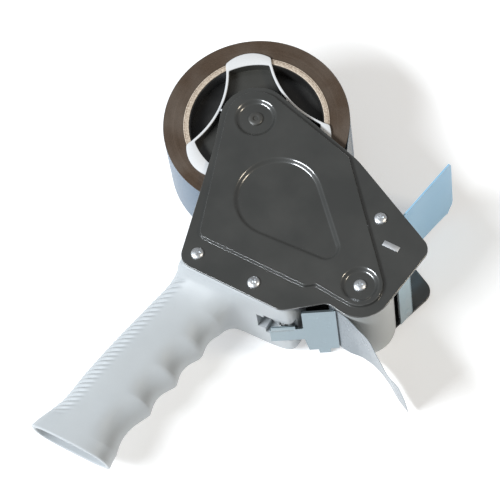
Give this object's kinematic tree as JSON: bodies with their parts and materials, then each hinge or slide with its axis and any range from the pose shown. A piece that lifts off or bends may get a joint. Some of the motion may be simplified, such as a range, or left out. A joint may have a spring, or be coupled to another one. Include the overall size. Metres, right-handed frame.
{
  "type": "tape dispenser",
  "caption": "Pistol-grip packing tape dispenser with sheet steel side plates, braked hub, rubber roller, toothed blade, wiper and moulded handle.",
  "frame": {"origin": "on the tape spindle's axis, in the plane of the rear side plate's raised panel that the tool lies on", "axes": "+Z from the rear plate up to the front plate, along the spindle; +X forward to the face that meets the carton; the handle hangs towards -Y and the roll is towards +Y"},
  "size_m": [0.2, 0.2615, 0.06],
  "materials": {
    "plate_paint": "dark grey semi-gloss enamel on pressed steel",
    "spindle_paint": "steel, its riveted head painted with the plate",
    "zinc_steel": "bright zinc-plated steel",
    "spring_steel": "oiled spring steel",
    "handle_plastic": "fine-textured light grey moulded plastic",
    "retainer_plastic": "smooth light grey plastic",
    "drum_plastic": "black moulded plastic",
    "bush_plastic": "natural white bearing plastic",
    "felt": "grey pressed felt",
    "cardboard": "spiral-wound brown board",
    "tape_side": "wound brown tape",
    "tape_film": "glossy thin brown film",
    "roller_rubber": "smooth light grey rubber",
    "bright_chrome": "bright nickel or chrome plate",
    "blade_steel": "ground carbon steel strip",
    "holder_metal": "plain light metal",
    "wiper_film": "milky translucent film"
  },
  "bodies": {
    "frame": {"front_plate": "plate_paint", "rear_plate": "plate_paint", "front_screws": "zinc_steel", "rear_screws": "zinc_steel", "handle": "handle_plastic", "spacer_post": "zinc_steel", "hub_axle": "spindle_paint", "brake_felt": "felt", "brake_spring": "spring_steel", "tape_web": "tape_film", "tape_tail": "tape_film", "roller_axle": "zinc_steel", "hold_down_pin": "zinc_steel", "hold_down_spring": "spring_steel", "blade": "blade_steel", "blade_rivets": "zinc_steel", "blade_holder": "holder_metal", "wiper_base": "wiper_film", "wiper_clamp": "holder_metal", "wiper_rivets": "zinc_steel"},
    "hub": {"hub_drum": "drum_plastic", "core_retainer": "retainer_plastic", "tape_core": "cardboard", "tape_roll": "tape_side"},
    "roller": {"roller_bushes": "bush_plastic", "roller_core": "drum_plastic", "roller_sleeve": "roller_rubber"},
    "hold_down": {"hold_down_plate": "bright_chrome"},
    "brake": {"brake_screw": "zinc_steel"},
    "wiper": {"wiper_flap": "wiper_film"}
  },
  "joints": [
    {"name": "hub_spin", "type": "hinge", "parent": "frame", "child": "hub", "pos_m": [0, 0, 0.03], "axis": [0, 0, 1], "continuous": true},
    {"name": "roller_spin", "type": "hinge", "parent": "frame", "child": "roller", "pos_m": [0.1008, -0.0634, 0.03], "axis": [0, 0, 1], "continuous": true},
    {"name": "hold_down_hinge", "type": "hinge", "parent": "frame", "child": "hold_down", "pos_m": [0.06903, -0.09451, 0.03], "axis": [0, 0, -1], "range_deg": [0, 10], "stiffness_Nm_per_rad": 0.4, "springref_deg": -8.59},
    {"name": "brake_turn", "type": "hinge", "parent": "frame", "child": "brake", "pos_m": [0, 0, 0.001], "axis": [0, 0, 1], "range_deg": [-180, 180]},
    {"name": "wiper_flex", "type": "hinge", "parent": "frame", "child": "wiper", "pos_m": [0.09924, -0.02267, 0.03], "axis": [0, 0, 1], "range_deg": [-5, 30], "stiffness_Nm_per_rad": 0.06}
  ],
  "couplings": [
    {"joint": "roller_spin", "follows": "hub_spin", "ratio": -2.9718}
  ]
}
